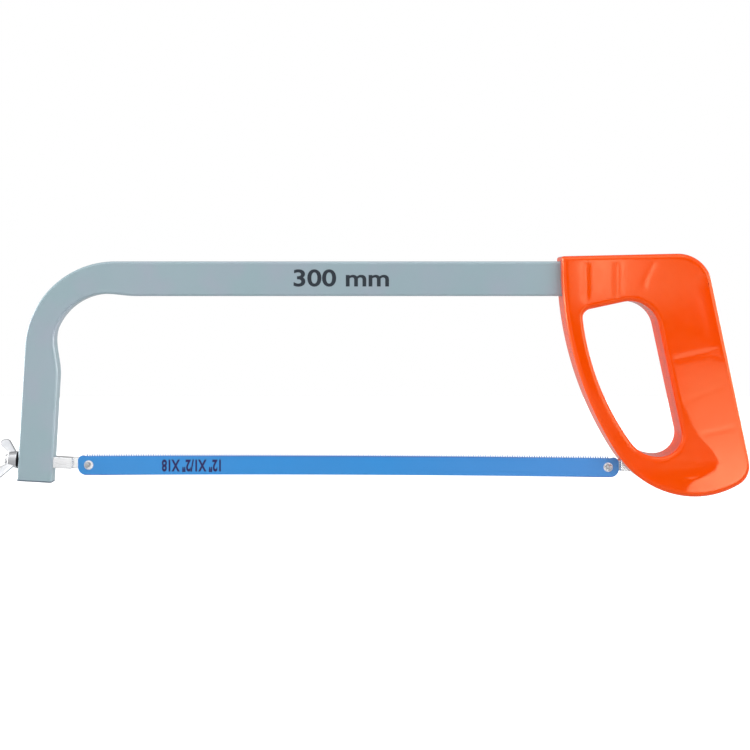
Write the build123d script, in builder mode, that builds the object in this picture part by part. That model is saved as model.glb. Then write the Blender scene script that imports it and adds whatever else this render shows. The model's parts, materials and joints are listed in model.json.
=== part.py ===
from build123d import *

import os
from math import asin, cos, degrees, radians, sin

# Hacksaw with a bent rectangular tube frame, a square-shank tension bolt with a wing nut,
# a 300 mm blade and a closed D handle of two moulded half shells over a forked steel core.
#
# Row frame: the origin is the centre of the handle's grip, +X points to the back of the
# handle, +Y runs through the saw from its marked side to its screw side, +Z points up.
# Side outlines are drawn on Plane.XZ, whose local x is X, local y is Z and normal is -Y.

# ---------------------------------------------------------------- driving dimensions

# frame tube
tube_height = 20.0
tube_depth = 10.0
tube_wall = 1.2
tube_corner = 1.5
tube_top = 71.4
tube_end_x = -36.0
bend_x = -340.3
bend_outer_radius = 52.0
bend_inner_radius = 32.4
bend_crush = (-4.0, 1.0)
top_blend = 12.0
top_blend_angle = 12.0
leg_blend = 16.0
leg_blend_angle = 21.7
leg_lean = 3.3
leg_length = 76.5
plug_flange = 0.8
plug_depth = 7.0
plug_wall = 1.6
plug_clearance = 0.1

# blade and its two pins
blade_hole_spacing = 300.0
blade_end = 6.2
blade_below = 5.8
blade_land = 5.6
blade_tip = 6.0
blade_thickness = 0.65
blade_gap = 0.05
blade_top_corner = 3.2
blade_bottom_corner = 4.8
blade_hole_radius = 2.2
tooth_pitch = 25.4 / 18
tooth_depth = 0.9
tooth_count = 214
rear_hole_z = -47.4
pin_radius = 1.5
pin_reach = 2.3
pin_clearance = 0.05
pin_edge = 0.6

# blade holders: square shanks milled to half thickness at the blade end
shank = 6.4
shank_clearance = 0.05
bolt_down_leg = 65.7
bolt_thread_radius = 3.0
bolt_thread_end = 8.6
bolt_shank_start = 0.3
bolt_shoulder = 30.8
bolt_pin_at = 39.36
bolt_pin_drop = 0.7
tongue_past_pin = 4.6
tongue_cut = 20.0
holder_chamfer = 0.4
rear_axis_z = -46.4
rear_shoulder_x = -49.1
rear_shank_end_x = -26.2
cross_pin_radius = 1.5
cross_pin_half_length = 6.8
cross_pin_gap = 0.02
cross_pin_chamfer = 0.3

# washer and wing nut
washer_radius = 5.0
washer_hole_radius = 3.25
washer_thickness = 1.0
washer_edge = 0.4
nut_gap = 0.1
nut_hub_base_radius = 5.0
nut_hub_top_radius = 4.2
nut_hub_height = 5.4
nut_bore_radius = 3.07
nut_turned = 42.0
wing_thickness = 2.2
wing_edge = 0.8
# each wing is the hull of three circles: (distance from the axis, height, radius)
wing_circles = [(10.5, 9.6, 3.4), (3.7, 1.7, 0.9), (3.0, 4.2, 0.9)]

# handle
handle_half = 11.5
handle_wall = 2.4
handle_face_wall = 2.8
handle_edge = 2.6
handle_left_x = -84.25
handle_top_left = (handle_left_x, 74.2)
handle_top_right = (-1.9, 76.05)
handle_heel = (24.64, -50.6)
guard_top = (handle_left_x, 69.3)
guard_low = (-52.5, -38.6)
handle_belly = (-17.6, -62.2)
top_corner_radius = 19.6
left_corner_radius = 1.5
heel_radius = 13.0

# finger opening of the handle: four sides and the radii between them
opening_top_left = (-72.4, 43.05)
opening_top_right = (-32.5, 51.64)
opening_low_right = (-12.78, -40.35)
opening_low_left = (-38.4, -40.35)
opening_left_mid = (-64.2, 5.3)
opening_radii = (5.0, 16.8, 12.4, 19.5)

# forked steel core inside the guard
core_inset = 2.6
core_thickness = 3.8
core_half_width = 8.0
knee_sweep = 28.0
cheek_left_x = -80.8
cheek_right_x = -60.0
cheek_low_z = 52.6
cheek_high_z = 70.0
pad_left_x = -37.0
pad_right_x = -33.4
pad_low_z = -51.0
pad_high_z = -42.6
rivet_points = [(-76.0, 61.4), (-65.0, 61.4)]
rivet_radius = 2.0
rivet_head_radius = 3.4
rivet_head = 0.5

# screws that close the shells from the hidden side
screw_points = [(-24.0, 61.0), (-7.0, 22.0), (1.0, -16.0), (9.0, -47.0), (-19.0, -51.5)]
screw_radius = 1.7
screw_pilot_radius = 1.75
screw_hole_radius = 2.0
screw_head_radius = 3.3
screw_head = 2.2
screw_head_edge = 0.8
screw_seat = 6.0
screw_tip = 8.9
pilot_past_tip = 0.2
recess_length = 3.8
recess_width = 0.9
recess_depth = 1.3
counterbore_radius = 3.6
boss_radius_front = 4.2
boss_radius_rear = 4.9

# stiffening ribs inside each shell: x and z of the middle and the angle of each rib
rib_thickness = 1.6
rib_length = 60.0
tube_ribs = [(-53.0, 62.0, 90.0), (-41.0, 62.0, 90.0)]
grip_ribs = [
    (-8.0, 36.0, 25.0),
    (-6.0, 11.0, 20.0),
    (-2.0, -4.5, 14.0),
    (3.0, -29.0, 10.0),
    (-5.0, -50.0, 90.0),
]

# clearances around the frame where it enters the handle, and at the seam's inner posts
tube_clearance = 0.1
notch_width = 14.0
seam_gap = 0.05

# how far a cutting shape runs past what it cuts, and how close two lengths count as equal
cut_overrun = 1.0
length_tolerance = 0.01

# ---------------------------------------------------------------- derived geometry

bend_z = tube_top - bend_outer_radius
nominal_inner_radius = bend_outer_radius - tube_height
# the crushed inside of the bend is deepest near the leg, so its arc has a centre of its own
crush_centre = (bend_x + bend_crush[0], bend_z + bend_crush[1])
plug_inset = tube_wall + plug_clearance
lean = radians(leg_lean)
leg_down = Vector(-sin(lean), 0, -cos(lean))
leg_out = Vector(-cos(lean), 0, sin(lean))
bend_centre = Vector(bend_x, 0, bend_z)
leg_top_outer = bend_centre + leg_out * bend_outer_radius
bolt_origin = leg_top_outer + leg_down * bolt_down_leg
leg_end_centre = leg_top_outer + leg_down * leg_length - leg_out * (tube_height / 2)

# local z of bolt_plane points along the bolt towards the blade, local y points up the leg
bolt_plane = Plane(origin=bolt_origin, x_dir=(0, 1, 0), z_dir=-leg_out)
square_hole = shank + 2 * shank_clearance
leg_end_plane = Plane(origin=leg_end_centre, x_dir=(0, 1, 0), z_dir=leg_down)
front_pin = bolt_origin - leg_out * bolt_pin_at + leg_down * bolt_pin_drop

# each pin bears on the outer side of its blade hole, so the play lies towards mid blade
pin_play = blade_hole_radius - pin_radius - pin_clearance
front_hole = front_pin + Vector(pin_play, 0, 0)
blade_tilt = asin((front_hole.Z - rear_hole_z) / blade_hole_spacing)
blade_along = Vector(cos(blade_tilt), 0, -sin(blade_tilt))
rear_hole = front_hole + blade_along * blade_hole_spacing
rear_pin = rear_hole + Vector(pin_play, 0, 0)
blade_plane = Plane(origin=(front_hole.X, -blade_gap, front_hole.Z), x_dir=blade_along, z_dir=(0, -1, 0))

os.makedirs("parts", exist_ok=True)


def finish(builder, name):
    """Label a finished piece and write its STEP file."""
    builder.part.label = name
    export_step(builder.part, f"parts/{name}.step")


# ---------------------------------------------------------------- frame tube


def side_point(vector):
    """A point in space as its place on the side plane."""
    return (vector.X, vector.Z)


def tube_outline(inset, overrun):
    """Side outline of the bent tube, drawn inside the walls by inset and past both ends by overrun."""
    top_z = tube_top - inset
    bottom_z = tube_top - tube_height + inset
    far_x = tube_end_x + overrun
    outer_radius = bend_outer_radius - inset
    straight_radius = nominal_inner_radius + inset
    crushed_radius = bend_inner_radius + inset
    run = leg_down * (leg_length + overrun)
    outer_top = bend_centre + leg_out * outer_radius
    inner_top = bend_centre + leg_out * straight_radius
    first_angle = 90 + top_blend_angle
    last_angle = 180 - leg_lean - leg_blend_angle
    inner_leg_start = inner_top + leg_down * leg_blend
    with BuildLine() as outline:
        Line((far_x, top_z), (bend_x, top_z))
        CenterArc((bend_x, bend_z), outer_radius, 90, 90 - leg_lean)
        Line(side_point(outer_top), side_point(outer_top + run))
        Line(side_point(outer_top + run), side_point(inner_top + run))
        Line(side_point(inner_top + run), side_point(inner_leg_start))
        crushed = CenterArc(crush_centre, crushed_radius, first_angle, last_angle - first_angle)
        Spline(
            (bend_x + top_blend, bottom_z),
            crushed @ 0,
            tangents=[(-1, 0), crushed % 0],
        )
        Spline(
            crushed @ 1,
            side_point(inner_leg_start),
            tangents=[crushed % 1, (leg_down.X, leg_down.Z)],
        )
        Line((bend_x + top_blend, bottom_z), (far_x, bottom_z))
        Line((far_x, bottom_z), (far_x, top_z))
    return outline.edges()


with BuildPart() as frame_tube:
    with BuildSketch(Plane.XZ):
        make_face(tube_outline(0, 0))
    extrude(amount=tube_depth / 2, both=True)
    side_edges = frame_tube.edges().group_by(Axis.Y)[0] + frame_tube.edges().group_by(Axis.Y)[-1]
    fillet(side_edges.filter_by(lambda edge: abs(edge.length - tube_height) > length_tolerance), tube_corner)
    with BuildSketch(Plane.XZ):
        make_face(tube_outline(tube_wall, cut_overrun))
    extrude(amount=tube_depth / 2 - tube_wall, both=True, mode=Mode.SUBTRACT)
    with BuildSketch(bolt_plane.offset(-cut_overrun)):
        Rectangle(square_hole, square_hole)
    extrude(amount=tube_height + 2 * cut_overrun, mode=Mode.SUBTRACT)
    with BuildSketch(Plane.XZ):
        with Locations(*rivet_points):
            Circle(rivet_radius)
    extrude(amount=tube_depth, both=True, mode=Mode.SUBTRACT)
finish(frame_tube, "frame_tube")

with BuildPart() as leg_end_plug:
    with BuildSketch(leg_end_plane):
        RectangleRounded(tube_depth, tube_height, tube_corner)
    extrude(amount=plug_flange)
    with BuildSketch(leg_end_plane.offset(-plug_depth)):
        Rectangle(tube_depth - 2 * plug_inset, tube_height - 2 * plug_inset)
        offset(amount=-plug_wall, mode=Mode.SUBTRACT)
    extrude(amount=plug_depth)
finish(leg_end_plug, "leg_end_plug")

# ---------------------------------------------------------------- tension bolt, washer, wing nut

with BuildPart() as tension_bolt:
    with BuildSketch(bolt_plane.offset(bolt_shank_start)):
        Rectangle(shank, shank)
    extrude(amount=bolt_pin_at + tongue_past_pin - bolt_shank_start)
    chamfer(tension_bolt.edges().group_by(Axis.X)[-1], holder_chamfer)
    with BuildSketch(bolt_plane.offset(bolt_shoulder)):
        with Locations((-shank / 2, 0)):
            Rectangle(shank, 2 * shank)
    extrude(amount=tongue_cut, mode=Mode.SUBTRACT)
    with BuildSketch(bolt_plane.offset(-bolt_thread_end)):
        Circle(bolt_thread_radius)
    extrude(amount=bolt_thread_end + bolt_shank_start)
    chamfer(tension_bolt.edges().group_by(Axis.X)[0], holder_chamfer)
    with BuildSketch(Plane.XZ):
        with Locations(side_point(front_pin)):
            Circle(pin_radius)
    extrude(amount=shank, both=True, mode=Mode.SUBTRACT)
finish(tension_bolt, "tension_bolt")


def blade_pin(centre):
    """Pin pressed through a holder's tongue, standing out towards the marked side."""
    with BuildPart() as pin:
        with BuildSketch(Plane.XZ.offset(-shank / 2)):
            with Locations(side_point(centre)):
                Circle(pin_radius)
        extrude(amount=shank / 2 + pin_reach)
        fillet(pin.edges().group_by(Axis.Y)[0], pin_edge)
    return pin


front_blade_pin = blade_pin(front_pin)
finish(front_blade_pin, "front_blade_pin")

with BuildPart() as tension_washer:
    with BuildSketch(bolt_plane):
        Circle(washer_radius)
        Circle(washer_hole_radius, mode=Mode.SUBTRACT)
    extrude(amount=-washer_thickness)
    fillet(tension_washer.edges().group_by(Axis.X)[0].sort_by(SortBy.LENGTH)[-1], washer_edge)
finish(tension_washer, "tension_washer")

turned = radians(nut_turned)
wing_direction = -leg_down * cos(turned) + Vector(0, 1, 0) * sin(turned)
nut_plane = Plane(
    origin=bolt_origin + leg_out * (washer_thickness + nut_gap),
    x_dir=wing_direction,
    z_dir=leg_out,
)
wing_plane = Plane(origin=nut_plane.origin, x_dir=wing_direction, z_dir=wing_direction.cross(leg_out))

with BuildPart() as wing_nut:
    for wing_side in (1, -1):
        with BuildSketch(wing_plane):
            for distance, height, radius in wing_circles:
                with Locations((wing_side * distance, height)):
                    Circle(radius)
            make_hull()
        extrude(amount=wing_thickness / 2, both=True)
    fillet(wing_nut.edges().filter_by(lambda edge: edge.length > 2 * wing_thickness), wing_edge)
    with BuildSketch(nut_plane):
        Circle(nut_hub_base_radius)
    with BuildSketch(nut_plane.offset(nut_hub_height)):
        Circle(nut_hub_top_radius)
    loft()
    with BuildSketch(nut_plane):
        Circle(nut_bore_radius)
    extrude(amount=nut_hub_height + cut_overrun, mode=Mode.SUBTRACT)
finish(wing_nut, "wing_nut")

# ---------------------------------------------------------------- blade

blade_left_x = -blade_end
blade_right_x = blade_hole_spacing + blade_end
tooth_root = blade_tip - tooth_depth
first_tooth_x = (blade_hole_spacing - tooth_count * tooth_pitch) / 2
last_tooth_x = first_tooth_x + tooth_count * tooth_pitch
top_corners = [(blade_left_x, blade_land), (blade_right_x, blade_land)]
bottom_corners = [(blade_left_x, -blade_below), (blade_right_x, -blade_below)]

# teeth point to the front of the saw: a steep face on the -X side and a long sloping back
tooth_line = [(first_tooth_x - tooth_pitch / 2, blade_land)]
for tooth in range(tooth_count):
    tooth_x = first_tooth_x + tooth * tooth_pitch
    tooth_line += [(tooth_x, tooth_root), (tooth_x, blade_tip)]
tooth_line += [(last_tooth_x, tooth_root), (last_tooth_x + tooth_pitch / 2, blade_land)]

with BuildPart() as blade:
    with BuildSketch(blade_plane) as blade_side:
        with BuildLine():
            Polyline(
                bottom_corners[0],
                top_corners[0],
                *tooth_line,
                top_corners[1],
                bottom_corners[1],
                close=True,
            )
        make_face()
        for corners, radius in ((top_corners, blade_top_corner), (bottom_corners, blade_bottom_corner)):
            for corner in corners:
                fillet(blade_side.vertices().sort_by_distance(corner)[0], radius)
        with Locations((0, 0), (blade_hole_spacing, 0)):
            Circle(blade_hole_radius, mode=Mode.SUBTRACT)
    extrude(amount=blade_thickness)
finish(blade, "blade")

# ---------------------------------------------------------------- rear blade holder

rear_plane = Plane(origin=(0, 0, rear_axis_z), x_dir=(0, 1, 0), z_dir=(1, 0, 0))
rear_tongue_x = rear_pin.X - tongue_past_pin
cross_pin_x = pad_right_x + cross_pin_radius + cross_pin_gap

with BuildPart() as rear_blade_holder:
    with BuildSketch(rear_plane.offset(rear_tongue_x)):
        Rectangle(shank, shank)
    extrude(amount=rear_shank_end_x - rear_tongue_x)
    chamfer(rear_blade_holder.edges().group_by(Axis.X)[0], holder_chamfer)
    chamfer(rear_blade_holder.edges().group_by(Axis.X)[-1], holder_chamfer)
    with BuildSketch(rear_plane.offset(rear_shoulder_x)):
        with Locations((-shank / 2, 0)):
            Rectangle(shank, 2 * shank)
    extrude(amount=-tongue_cut, mode=Mode.SUBTRACT)
    with BuildSketch(Plane.XZ):
        with Locations(side_point(rear_pin)):
            Circle(pin_radius)
        with Locations((cross_pin_x, rear_axis_z)):
            Circle(cross_pin_radius)
    extrude(amount=shank, both=True, mode=Mode.SUBTRACT)
finish(rear_blade_holder, "rear_blade_holder")

rear_blade_pin = blade_pin(rear_pin)
finish(rear_blade_pin, "rear_blade_pin")

with BuildPart() as rear_cross_pin:
    with BuildSketch(Plane.XZ):
        with Locations((cross_pin_x, rear_axis_z)):
            Circle(cross_pin_radius)
    extrude(amount=cross_pin_half_length, both=True)
    chamfer(rear_cross_pin.edges(), cross_pin_chamfer)
finish(rear_cross_pin, "rear_cross_pin")

# ---------------------------------------------------------------- outline of the handle

with BuildSketch() as body_face:
    with BuildLine():
        Line(guard_top, handle_top_left)
        Line(handle_top_left, handle_top_right)
        Line(handle_top_right, handle_heel)
        guard = TangentArc(guard_top, guard_low, tangent=(0, -1))
        lower = TangentArc(guard_low, handle_belly, tangent=guard % 1)
        TangentArc(handle_belly, handle_heel, tangent=lower % 1)
    make_face()
    body_corners = (handle_top_left, handle_top_right, handle_heel)
    body_radii = (left_corner_radius, top_corner_radius, heel_radius)
    for corner, radius in zip(body_corners, body_radii):
        fillet(body_face.vertices().sort_by_distance(corner)[0], radius)

with BuildSketch() as opening_face:
    with BuildLine():
        Line(opening_top_left, opening_top_right)
        Line(opening_top_right, opening_low_right)
        Line(opening_low_right, opening_low_left)
        ThreePointArc(opening_low_left, opening_left_mid, opening_top_left)
    make_face()
    opening_corners = (opening_top_left, opening_top_right, opening_low_right, opening_low_left)
    for corner, radius in zip(opening_corners, opening_radii):
        fillet(opening_face.vertices().sort_by_distance(corner)[0], radius)


def ring_face(inset):
    """Handle outline less its finger opening, drawn in by inset from both."""
    with BuildSketch() as opening:
        add(opening_face.sketch)
        if inset:
            offset(amount=inset, mode=Mode.REPLACE)
    with BuildSketch() as ring:
        add(body_face.sketch)
        if inset:
            offset(amount=-inset, mode=Mode.REPLACE)
        add(opening.sketch, mode=Mode.SUBTRACT)
    return ring.sketch


handle_face = ring_face(0)
cavity_face = ring_face(handle_wall)
rib_field = ring_face(handle_wall / 2)

# ---------------------------------------------------------------- steel core and its rivets

# the core's arm runs between two pairs of arcs concentric with the guard's outline
guard_sweep = degrees(guard.length / guard.radius)


def arm_band(near, far):
    """Closed outline of a band down the guard, from near to far inside the handle's outline."""
    with BuildLine() as band:
        tops = []
        knees = []
        for distance in (near, far):
            upper = CenterArc(guard.arc_center, guard.radius - distance, 180, guard_sweep)
            knee = CenterArc(lower.arc_center, lower.radius - distance, 180 + guard_sweep, knee_sweep)
            tops.append(upper @ 0)
            knees.append(knee @ 1)
        Line(*tops)
        Line(*knees)
    return band.edges()


with BuildPart() as core_fork:
    with BuildSketch(Plane.XZ):
        make_face(arm_band(core_inset, core_inset + core_thickness))
        with Locations(((pad_left_x + pad_right_x) / 2, (pad_low_z + pad_high_z) / 2)):
            Rectangle(pad_right_x - pad_left_x, pad_high_z - pad_low_z)
        with Locations(((cheek_left_x + cheek_right_x) / 2, (cheek_low_z + cheek_high_z) / 2)):
            Rectangle(cheek_right_x - cheek_left_x, cheek_high_z - cheek_low_z)
    extrude(amount=core_half_width, both=True)
    with BuildSketch(Plane.XZ):
        with Locations(((handle_left_x + cheek_right_x) / 2, tube_top - tube_height / 2)):
            Rectangle(2 * (cheek_right_x - handle_left_x), tube_height)
    extrude(amount=tube_depth / 2, both=True, mode=Mode.SUBTRACT)
    with BuildSketch(rear_plane.offset(guard_low[0])):
        Rectangle(square_hole, square_hole)
    extrude(amount=rear_shank_end_x - guard_low[0], mode=Mode.SUBTRACT)
    with BuildSketch(Plane.XZ):
        with Locations(*rivet_points):
            Circle(rivet_radius)
    extrude(amount=core_half_width, both=True, mode=Mode.SUBTRACT)
finish(core_fork, "core_fork")

with BuildPart() as fork_rivets:
    with BuildSketch(Plane.XZ):
        with Locations(*rivet_points):
            Circle(rivet_radius)
    extrude(amount=core_half_width, both=True)
    for face_plane in (Plane.XZ.offset(core_half_width), Plane.XZ.offset(-core_half_width)):
        with BuildSketch(face_plane):
            with Locations(*rivet_points):
                Circle(rivet_head_radius)
        extrude(amount=rivet_head if face_plane.origin.Y < 0 else -rivet_head)
finish(fork_rivets, "fork_rivets")

# ---------------------------------------------------------------- handle shells


def ribs(rib_list):
    """Stiffening ribs, cut to the handle's outline."""
    with BuildSketch() as rib_lines:
        for middle_x, middle_z, angle in rib_list:
            with Locations(Location((middle_x, middle_z, 0), (0, 0, angle))):
                Rectangle(rib_length, rib_thickness)
        add(rib_field, mode=Mode.INTERSECT)
    return rib_lines.sketch


def half_shell(outward):
    """One half of the handle: outward is -1 for the marked side and 1 for the screw side."""
    toward = -outward
    with BuildPart() as shell:
        with BuildSketch(Plane.XZ):
            add(handle_face)
        extrude(amount=toward * handle_half)
        fillet(shell.faces().sort_by(Axis.Y)[-1 if outward > 0 else 0].edges(), handle_edge)
        with BuildSketch(Plane.XZ):
            add(cavity_face)
        extrude(amount=toward * (handle_half - handle_face_wall), mode=Mode.SUBTRACT)
        with BuildSketch(Plane.XZ.offset(toward * (tube_depth / 2 + tube_clearance))):
            add(ribs(tube_ribs))
        extrude(amount=toward * (handle_half - handle_face_wall - tube_depth / 2))
        with BuildSketch(Plane.XZ.offset(toward * seam_gap)):
            add(ribs(grip_ribs))
            with Locations(*screw_points):
                Circle(boss_radius_front if outward < 0 else boss_radius_rear)
        extrude(amount=toward * (handle_half - handle_face_wall))
        with BuildSketch(Plane.XZ):
            with Locations((handle_left_x, tube_top - tube_height / 2)):
                Rectangle(notch_width, tube_height + 2 * tube_clearance)
        extrude(amount=tube_depth / 2 + tube_clearance, both=True, mode=Mode.SUBTRACT)
        with BuildSketch(rear_plane.offset(guard_low[0])):
            Rectangle(square_hole, square_hole)
        extrude(amount=rear_shank_end_x - guard_low[0] + cut_overrun, mode=Mode.SUBTRACT)
    return shell.part


with BuildPart() as handle_shell_front:
    add(half_shell(-1))
    with BuildSketch(Plane.XZ):
        with Locations(*screw_points):
            Circle(screw_pilot_radius)
    extrude(amount=screw_tip + pilot_past_tip, mode=Mode.SUBTRACT)
finish(handle_shell_front, "handle_shell_front")

with BuildPart() as handle_shell_rear:
    add(half_shell(1))
    with BuildSketch(Plane.XZ):
        with Locations(*screw_points):
            Circle(screw_hole_radius)
    extrude(amount=-handle_half, mode=Mode.SUBTRACT)
    with BuildSketch(Plane.XZ.offset(-screw_seat)):
        with Locations(*screw_points):
            Circle(counterbore_radius)
    extrude(amount=-handle_half, mode=Mode.SUBTRACT)
finish(handle_shell_rear, "handle_shell_rear")

with BuildPart() as handle_screws:
    with BuildSketch(Plane.XZ.offset(-screw_seat)):
        with Locations(*screw_points):
            Circle(screw_head_radius)
    extrude(amount=-screw_head)
    fillet(handle_screws.edges().group_by(Axis.Y)[-1], screw_head_edge)
    with BuildSketch(Plane.XZ.offset(-screw_seat)):
        with Locations(*screw_points):
            Circle(screw_radius)
    extrude(amount=screw_seat + screw_tip)
    with BuildSketch(Plane.XZ.offset(-screw_seat - screw_head + recess_depth)):
        with Locations(*screw_points):
            Rectangle(recess_length, recess_width)
            Rectangle(recess_width, recess_length)
    extrude(amount=-recess_depth, mode=Mode.SUBTRACT)
finish(handle_screws, "handle_screws")
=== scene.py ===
import json
import math

import bmesh
import bpy
import numpy as np
from mathutils import Matrix, Vector
from mathutils.geometry import delaunay_2d_cdt


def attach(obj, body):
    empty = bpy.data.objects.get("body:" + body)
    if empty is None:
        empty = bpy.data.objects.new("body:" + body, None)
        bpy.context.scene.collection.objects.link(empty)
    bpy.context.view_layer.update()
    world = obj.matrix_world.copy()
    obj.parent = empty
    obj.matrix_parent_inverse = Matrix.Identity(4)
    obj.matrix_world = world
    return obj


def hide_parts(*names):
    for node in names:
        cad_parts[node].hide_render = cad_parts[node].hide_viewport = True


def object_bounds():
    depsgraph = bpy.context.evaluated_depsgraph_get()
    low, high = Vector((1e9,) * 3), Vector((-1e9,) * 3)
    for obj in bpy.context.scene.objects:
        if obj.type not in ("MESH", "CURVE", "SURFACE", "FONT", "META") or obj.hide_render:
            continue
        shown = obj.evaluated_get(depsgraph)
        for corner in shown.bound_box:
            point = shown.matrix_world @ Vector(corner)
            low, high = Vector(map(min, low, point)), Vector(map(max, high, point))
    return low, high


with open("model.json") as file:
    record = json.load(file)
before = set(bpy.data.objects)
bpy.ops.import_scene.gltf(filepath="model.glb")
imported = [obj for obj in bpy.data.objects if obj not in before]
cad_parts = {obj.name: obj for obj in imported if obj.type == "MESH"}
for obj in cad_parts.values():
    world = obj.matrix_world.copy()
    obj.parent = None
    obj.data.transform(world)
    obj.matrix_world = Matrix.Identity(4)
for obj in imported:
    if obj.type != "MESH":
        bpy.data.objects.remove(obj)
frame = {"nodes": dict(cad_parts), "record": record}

CAD_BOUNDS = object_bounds()
NODES = frame["nodes"]
MM = 0.001
ACROSS = (0, 1, 0)

# ---- camera, floor and light

CAMERA_AT = (-0.19074, -0.740, 0.0549)
CAMERA_FIELD = 0.4335
CAMERA_SHIFT = -0.1133
SENSOR = 36.0
FLOOR_DROP = 0.28
FLOOR_FRONT = -2.4
FLOOR_BACK = 4.0
FLOOR_HALF_WIDTH = 4.0
AMBIENT = 0.82
AMBIENT_BEHIND = 0.45
DARK_TOWARDS = (0.208, -0.976, -0.05)
DARK_LEVEL = 0.03
DARK_RIM = 0.94
DARK_CORE = 0.975
FLOOR_GREY = 0.5
LIT_POINT = (-0.12, 0, 0)
LEG_POINT = (-0.38, 0, 0)
REFLECTED_PLANE = -1.5
LAYER_GAP = 0.001


def linked(name, data):
    """New object in the scene."""
    made = bpy.data.objects.new(name, data)
    bpy.context.collection.objects.link(made)
    return made


def make_camera():
    """Camera square to the saw's side, in front of the throat and near the tube's height."""
    camera = linked("camera", bpy.data.cameras.new("camera"))
    camera.location = CAMERA_AT
    camera.rotation_euler = (math.pi / 2, 0, 0)
    camera.data.sensor_width = SENSOR
    camera.data.lens = SENSOR * -CAMERA_AT[1] / CAMERA_FIELD
    camera.data.shift_y = CAMERA_SHIFT
    camera.data.clip_start = 0.01
    camera.data.clip_end = 20.0
    bpy.context.scene.camera = camera


def softbox(name, at, towards, width, height, radiance, roll=0.0):
    """Rectangular softbox of a given brightness that faces a point."""
    data = bpy.data.lights.new(name, "AREA")
    data.shape = "RECTANGLE"
    data.size = width
    data.size_y = height
    data.energy = radiance * math.pi * width * height
    light = linked(name, data)
    light.location = at
    aim = (Vector(towards) - Vector(at)).to_track_quat("-Z", "Z")
    light.rotation_euler = (aim.to_matrix() @ Matrix.Rotation(roll, 3, "Z")).to_euler()


def reflected_panel(name, low, high, radiance, feather, roll=0.0, layers=3):
    """Panel behind the camera, seen only as a soft-edged reflection: its corners are (x, z) in metres."""
    for layer in range(layers):
        # lights in one plane would hide each other, so each layer stands a little further back
        depth = REFLECTED_PLANE - LAYER_GAP * len(bpy.data.lights)
        middle = ((low[0] + high[0]) / 2, depth, (low[1] + high[1]) / 2)
        ahead = (middle[0], 0, middle[2])
        grow = feather * (2 * layer / (layers - 1) - 1)
        size = (high[0] - low[0] + grow, high[1] - low[1] + grow)
        softbox(f"{name}_{layer}", middle, ahead, *size, radiance / layers, roll)


def fed_node(tree, kind, value, *constants):
    """Shader node whose first input is linked and whose next inputs are constants."""
    node = tree.nodes.new("ShaderNode" + kind)
    tree.links.new(value, node.inputs[0])
    for socket, constant in zip(node.inputs[1:], constants):
        socket.default_value = constant
    return node


def vector_math(tree, operation, value, *constants):
    """Vector operation on a linked input and constants."""
    node = fed_node(tree, "VectorMath", value, *constants)
    node.operation = operation
    return node


def spread(tree, value, low, high, start=0.3, stop=0.7):
    """Map a value between start and stop to the range from low to high."""
    return fed_node(tree, "MapRange", value, start, stop, low, high).outputs["Result"]


def make_world():
    """White surround for the eye; the light on the saw is even, dimmer behind it and behind the camera."""
    world = bpy.data.worlds.new("tent")
    world.use_nodes = True
    tree = world.node_tree
    background = tree.nodes["Background"]
    background.inputs["Color"].default_value = (1, 1, 1, 1)
    direction = tree.nodes.new("ShaderNodeTexCoord").outputs["Generated"]
    axes = fed_node(tree, "SeparateXYZ", direction)
    behind = spread(tree, axes.outputs["Y"], AMBIENT, AMBIENT * AMBIENT_BEHIND, 0.0, 0.8)
    towards = vector_math(tree, "DOT_PRODUCT", direction, DARK_TOWARDS)
    patch = spread(tree, towards.outputs["Value"], 1.0, DARK_LEVEL, DARK_RIM, DARK_CORE)
    level = fed_node(tree, "Math", behind)
    level.operation = "MULTIPLY"
    tree.links.new(patch, level.inputs[1])
    path = tree.nodes.new("ShaderNodeLightPath")
    shown = tree.nodes.new("ShaderNodeMix")
    shown.inputs["B"].default_value = 1.0
    tree.links.new(path.outputs["Is Camera Ray"], shown.inputs["Factor"])
    tree.links.new(level.outputs["Value"], shown.inputs["A"])
    tree.links.new(shown.outputs["Result"], background.inputs["Strength"])
    bpy.context.scene.world = world


def make_lights():
    """Light from above, from the right and past both ends, little from the left, and mirrored panels."""
    softbox("key", (-1.35, -0.9, 0.35), LIT_POINT, 1.5, 1.3, 0.1)
    softbox("top", (-0.25, -0.75, 1.25), LIT_POINT, 1.8, 1.0, 1.5)
    softbox("fill", (1.2, -1.2, 0.2), LIT_POINT, 0.9, 1.1, 2.4)
    softbox("left_side", (-1.5, 0.25, 0.1), LIT_POINT, 0.8, 1.2, 7.0)
    softbox("right_side", (0.5, 0.3, 0.0), LEG_POINT, 0.4, 0.6, 6.0)
    reflected_panel("upper_left", (0.160, 0.035), (0.240, 0.20), 4.0, 0.02)
    reflected_panel("upper_middle", (0.240, 0.03), (0.32, 0.16), 1.5, 0.03)
    reflected_panel("upper_right", (0.33, 0.03), (0.47, 0.085), 1.6, 0.04, roll=-0.3)
    reflected_panel("lower_right", (0.325, -0.60), (0.95, -0.07), 2.1, 0.02)
    reflected_panel("table", (0.36, -0.60), (0.95, -0.17), 1.2, 0.06)
    reflected_panel("table_edge", (0.36, -0.60), (0.95, -0.245), 2.5, 0.04)
    reflected_panel("holder", (-0.735, -0.40), (-0.50, -0.06), 1.3, 0.03)


# ---- sizes of the metal pieces, in millimetres

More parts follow.
